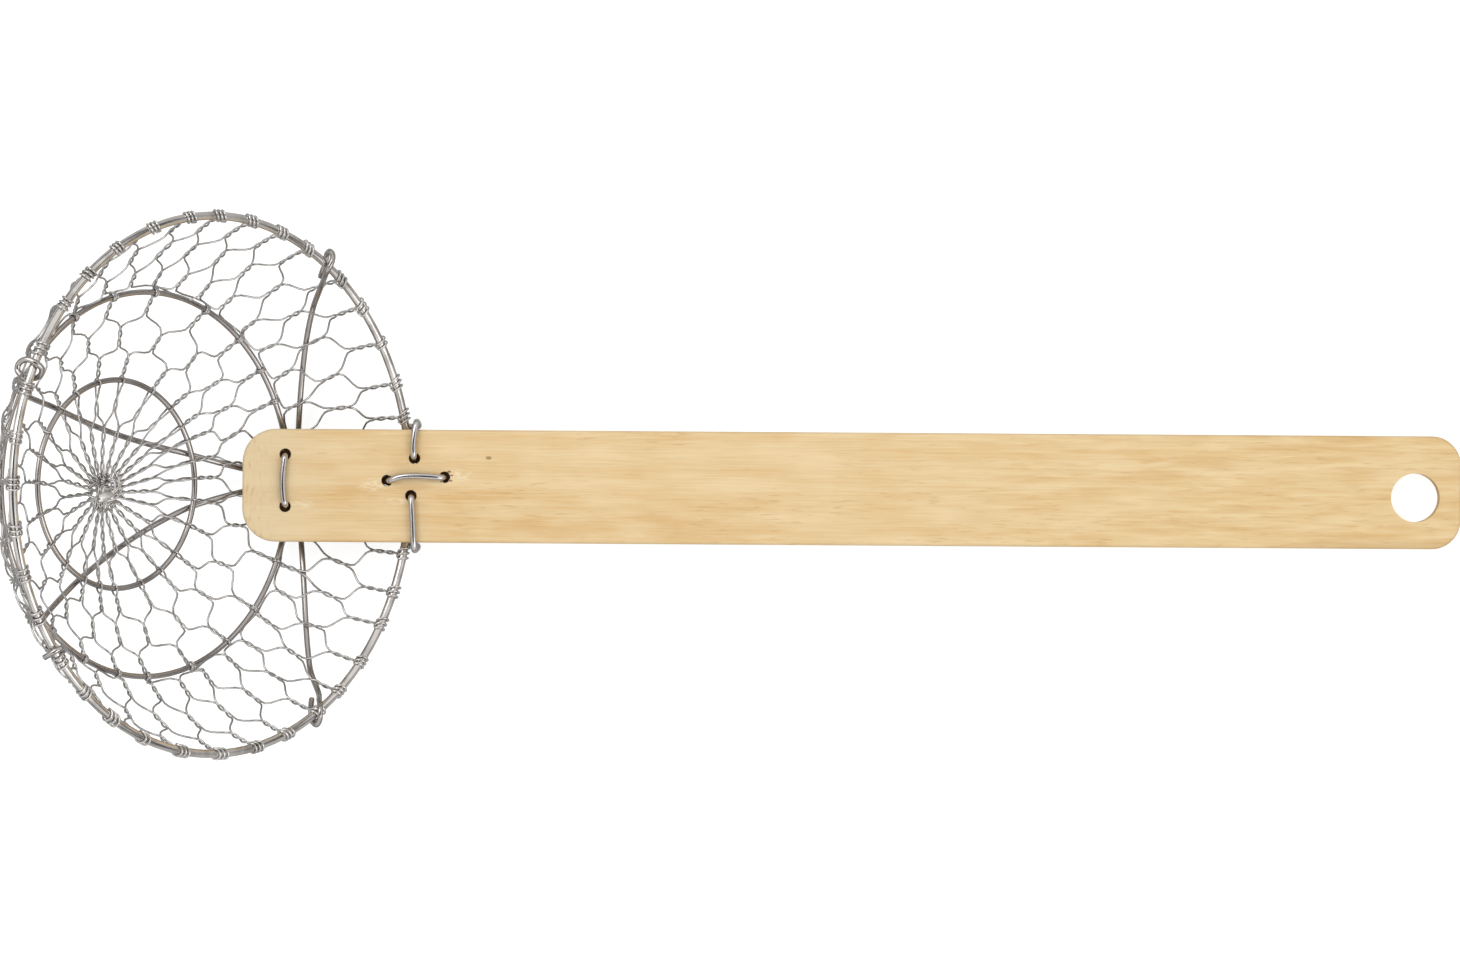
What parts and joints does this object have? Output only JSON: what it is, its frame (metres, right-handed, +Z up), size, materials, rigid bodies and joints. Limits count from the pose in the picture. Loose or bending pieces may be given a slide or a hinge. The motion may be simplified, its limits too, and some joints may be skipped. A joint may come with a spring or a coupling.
{
  "type": "spider skimmer",
  "caption": "Round knotted-wire skimmer bowl with stiffening rings and braces under the mesh, stitched by wire to a long flat bamboo handle with a hanging hole.",
  "frame": {"origin": "middle of the bottom of the box of the part as it rests on a table", "axes": "+X along the handle from the bowl to the hanging hole, +Z up, +Y to the left of someone looking along +X"},
  "size_m": [0.3774, 0.141, 0.1145],
  "materials": {
    "bamboo": "sanded bare bamboo, fine lengthwise grain, satin",
    "rim_steel": "drawn stainless wire, semi-bright",
    "ring_steel": "drawn stainless wire, semi-bright",
    "brace_steel": "drawn stainless wire, semi-bright",
    "mesh_steel": "thin drawn stainless wire, semi-bright",
    "stitch_steel": "bright stainless wire",
    "hub_steel": "wound wire ends under a dull drop of solder"
  },
  "bodies": {
    "root": {"handle": "bamboo", "rim_ring": "rim_steel", "middle_ring": "ring_steel", "inner_ring": "ring_steel", "cross_brace": "brace_steel", "fork_brace": "brace_steel", "tip_stitch": "stitch_steel", "rim_staple": "stitch_steel", "edge_stitch_left": "stitch_steel", "edge_stitch_right": "stitch_steel", "hub_knot": "hub_steel", "mesh_wire_01": "mesh_steel", "mesh_wire_02": "mesh_steel", "mesh_wire_03": "mesh_steel", "mesh_wire_04": "mesh_steel", "mesh_wire_05": "mesh_steel", "mesh_wire_06": "mesh_steel", "mesh_wire_07": "mesh_steel", "mesh_wire_08": "mesh_steel", "mesh_wire_09": "mesh_steel", "mesh_wire_10": "mesh_steel", "mesh_wire_11": "mesh_steel", "mesh_wire_12": "mesh_steel", "mesh_wire_13": "mesh_steel", "mesh_wire_14": "mesh_steel", "mesh_wire_15": "mesh_steel", "mesh_wire_16": "mesh_steel", "mesh_wire_17": "mesh_steel", "mesh_wire_18": "mesh_steel", "mesh_wire_19": "mesh_steel", "mesh_wire_20": "mesh_steel", "mesh_wire_21": "mesh_steel", "mesh_wire_22": "mesh_steel", "mesh_wire_23": "mesh_steel", "mesh_wire_24": "mesh_steel", "mesh_wire_25": "mesh_steel", "mesh_wire_26": "mesh_steel", "mesh_wire_27": "mesh_steel", "mesh_wire_28": "mesh_steel", "mesh_wire_29": "mesh_steel", "mesh_wire_30": "mesh_steel", "mesh_wire_31": "mesh_steel", "mesh_wire_32": "mesh_steel", "mesh_wire_33": "mesh_steel", "mesh_wire_34": "mesh_steel", "mesh_wire_35": "mesh_steel", "mesh_wire_36": "mesh_steel", "mesh_wire_37": "mesh_steel"}
  },
  "joints": []
}
